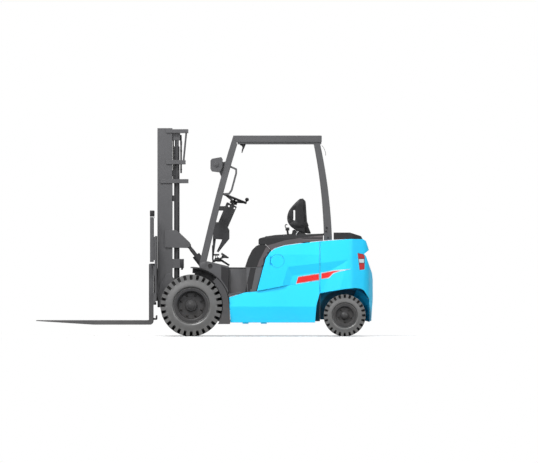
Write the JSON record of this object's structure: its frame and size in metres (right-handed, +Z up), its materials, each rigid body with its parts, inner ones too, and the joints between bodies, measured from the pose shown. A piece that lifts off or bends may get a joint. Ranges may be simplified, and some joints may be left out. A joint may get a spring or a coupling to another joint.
{
  "type": "counterbalanced electric forklift truck",
  "caption": "Counterbalanced forklift truck with blue body, overhead guard, seat, tilting telescopic mast, fork carriage, pneumatic-style tyres and a steered rear axle.",
  "frame": {"origin": "on the floor under the middle of the truck's length and width", "axes": "+X forward to the fork tips, +Y to the driver's left, +Z up"},
  "size_m": [3.6272, 1.15, 2.2406],
  "materials": {
    "blue_paint": "gloss",
    "blue_casting": "painted",
    "grey_paint": "satin",
    "dark_paint": "satin",
    "cast_steel": "painted",
    "black_plastic": "matte",
    "grey_plastic": "matte",
    "seat_cover": "grained",
    "tyre_rubber": "matte",
    "rod_chrome": "polished",
    "chain_steel": "oiled",
    "lamp_red": "clear"
  },
  "bodies": {
    "truck": {"frame": "blue_paint", "battery": "dark_paint", "drive_axle": "cast_steel", "front_fenders": "grey_plastic", "cowls": "grey_plastic", "floor_plate": "black_plastic", "steps": "dark_paint", "front_cover": "black_plastic", "side_panels": "blue_paint", "counterweight": "blue_casting", "tail_lamps": "lamp_red", "tow_coupling": "dark_paint", "rear_cover": "black_plastic", "guard_front": "grey_paint", "guard_rear": "grey_paint", "guard_roof": "grey_paint", "headlamps": "black_plastic", "console": "black_plastic", "pedals": "dark_paint", "steer_axle": "cast_steel"},
    "hood": {"hood": "black_plastic", "seat_cushion": "seat_cover", "seat_back": "seat_cover", "hip_restraints": "grey_plastic"},
    "charge_flap": {"charge_flap": "blue_paint"},
    "steering_wheel": {"steering_wheel": "black_plastic"},
    "tilt_barrels": {"tilt_barrels": "dark_paint"},
    "tilt_rods": {"tilt_rods": "rod_chrome"},
    "outer_mast": {"outer_rails": "grey_paint", "outer_ties": "grey_paint", "lift_barrels": "dark_paint"},
    "inner_mast": {"inner_rails": "grey_paint", "inner_ties": "grey_paint", "lift_rods": "rod_chrome", "sheaves": "cast_steel", "chains": "chain_steel"},
    "carriage": {"carriage": "grey_paint", "load_backrest": "grey_paint"},
    "fork_left": {"fork_left": "grey_paint"},
    "fork_right": {"fork_right": "grey_paint"},
    "front_wheel_left": {"front_tyre_left": "tyre_rubber", "front_rim_left": "dark_paint"},
    "front_wheel_right": {"front_tyre_right": "tyre_rubber", "front_rim_right": "dark_paint"},
    "rear_wheel_left": {"rear_tyre_left": "tyre_rubber", "rear_rim_left": "dark_paint"},
    "rear_wheel_right": {"rear_tyre_right": "tyre_rubber", "rear_rim_right": "dark_paint"},
    "knuckle_left": {"knuckle_left": "cast_steel"},
    "knuckle_right": {"knuckle_right": "cast_steel"}
  },
  "joints": [
    {"name": "mast_tilt", "type": "hinge", "parent": "truck", "child": "outer_mast", "pos_m": [0.1385, 0, 0.332], "axis": [0, 1, 0], "range_deg": [-10, 5]},
    {"name": "mast_lift", "type": "slide", "parent": "outer_mast", "child": "inner_mast", "axis": [0, 0, 1], "range_m": [-0.055, 1.5], "deforming": ["chains"]},
    {"name": "carriage_lift", "type": "slide", "parent": "inner_mast", "child": "carriage", "axis": [0, 0, 1], "range_m": [-0.055, 1.5]},
    {"name": "fork_left_shift", "type": "slide", "parent": "carriage", "child": "fork_left", "axis": [0, 1, 0], "range_m": [-0.165, 0.18]},
    {"name": "fork_right_shift", "type": "slide", "parent": "carriage", "child": "fork_right", "axis": [0, -1, 0], "range_m": [-0.165, 0.18]},
    {"name": "tilt_barrel_swing", "type": "hinge", "parent": "truck", "child": "tilt_barrels", "pos_m": [-0.1475, 0, 0.567], "axis": [0, 1, 0], "range_deg": [-12, 7]},
    {"name": "tilt_rod_slide", "type": "slide", "parent": "tilt_barrels", "child": "tilt_rods", "axis": [0.6153, 0, 0.7883], "range_m": [-0.08, 0.045]},
    {"name": "steer_left", "type": "hinge", "parent": "truck", "child": "knuckle_left", "pos_m": [-1.5115, 0.415, 0.226], "axis": [0, 0, 1], "range_deg": [-60, 60]},
    {"name": "steer_right", "type": "hinge", "parent": "truck", "child": "knuckle_right", "pos_m": [-1.5115, -0.415, 0.226], "axis": [0, 0, 1], "range_deg": [-60, 60]},
    {"name": "front_left_spin", "type": "hinge", "parent": "truck", "child": "front_wheel_left", "pos_m": [0.1385, 0.485, 0.332], "axis": [0, 1, 0], "continuous": true},
    {"name": "front_right_spin", "type": "hinge", "parent": "truck", "child": "front_wheel_right", "pos_m": [0.1385, -0.485, 0.332], "axis": [0, 1, 0], "continuous": true},
    {"name": "rear_left_spin", "type": "hinge", "parent": "knuckle_left", "child": "rear_wheel_left", "pos_m": [-1.5115, 0.475, 0.226], "axis": [0, 1, 0], "continuous": true},
    {"name": "rear_right_spin", "type": "hinge", "parent": "knuckle_right", "child": "rear_wheel_right", "pos_m": [-1.5115, -0.475, 0.226], "axis": [0, 1, 0], "continuous": true},
    {"name": "steering_wheel_turn", "type": "hinge", "parent": "truck", "child": "steering_wheel", "pos_m": [-0.3325, 0, 1.482], "axis": [-0.3746, 0, 0.9272], "continuous": true},
    {"name": "hood_open", "type": "hinge", "parent": "truck", "child": "hood", "pos_m": [-1.2855, 0, 1.099], "axis": [0, -1, 0], "range_deg": [0, 60]},
    {"name": "charge_flap_open", "type": "hinge", "parent": "truck", "child": "charge_flap", "pos_m": [-0.7195, 0.539, 0.811], "axis": [0, 0, -1], "range_deg": [0, 100]}
  ],
  "couplings": [
    {"joint": "carriage_lift", "follows": "mast_lift", "ratio": 1},
    {"joint": "tilt_barrel_swing", "follows": "mast_tilt", "ratio": 1.052},
    {"joint": "tilt_rod_slide", "follows": "mast_tilt", "m_per_rad": 0.368},
    {"joint": "steer_right", "follows": "steer_left", "ratio": 1}
  ]
}
